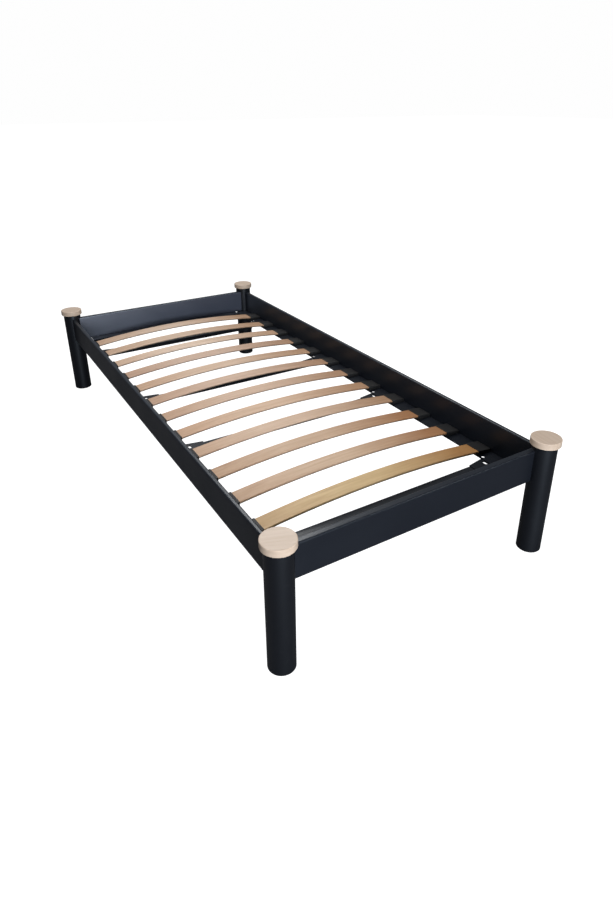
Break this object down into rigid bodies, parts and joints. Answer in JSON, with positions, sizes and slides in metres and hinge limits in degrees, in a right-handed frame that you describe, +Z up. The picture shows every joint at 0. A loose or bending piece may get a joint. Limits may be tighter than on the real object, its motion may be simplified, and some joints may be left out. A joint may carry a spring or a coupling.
{
  "type": "single bed frame",
  "caption": "Low single bed frame: round steel tube posts topped with beech discs, flat steel rails, and crowned sprung slats on steel shelves.",
  "frame": {"origin": "centre of the footprint of the frame, on the floor", "axes": "+X across the bed to its right side, +Y along the bed from the foot end to the head end, +Z up"},
  "size_m": [1.006, 2.154, 0.4],
  "materials": {
    "post_paint": "satin black powder coat",
    "rail_paint": "satin blue-black powder coat",
    "bar_paint": "satin blue-black powder coat",
    "disc_beech": "clear lacquered pale beech",
    "slat_veneer": "matt laminated beech veneer",
    "glide_plastic": "matt black",
    "cap_plastic": "matt black",
    "zinc_steel": "zinc plated",
    "black_steel": "black plated"
  },
  "bodies": {
    "root": {"post_foot_left": "post_paint", "post_foot_right": "post_paint", "post_head_left": "post_paint", "post_head_right": "post_paint", "disc_foot_left": "disc_beech", "disc_foot_right": "disc_beech", "disc_head_left": "disc_beech", "disc_head_right": "disc_beech", "glide_foot_left": "glide_plastic", "glide_foot_right": "glide_plastic", "glide_head_left": "glide_plastic", "glide_head_right": "glide_plastic", "foot_rail": "rail_paint", "head_rail": "rail_paint", "left_rail": "rail_paint", "right_rail": "rail_paint", "crossbar_1": "bar_paint", "crossbar_2": "bar_paint", "crossbar_3": "bar_paint", "crossbar_4": "bar_paint", "slat_01": "slat_veneer", "slat_02": "slat_veneer", "slat_03": "slat_veneer", "slat_04": "slat_veneer", "slat_05": "slat_veneer", "slat_06": "slat_veneer", "slat_07": "slat_veneer", "slat_08": "slat_veneer", "slat_09": "slat_veneer", "slat_10": "slat_veneer", "slat_11": "slat_veneer", "slat_12": "slat_veneer", "left_slat_caps": "cap_plastic", "right_slat_caps": "cap_plastic", "frame_bolts": "zinc_steel", "crossbar_screws": "black_steel"}
  },
  "joints": []
}
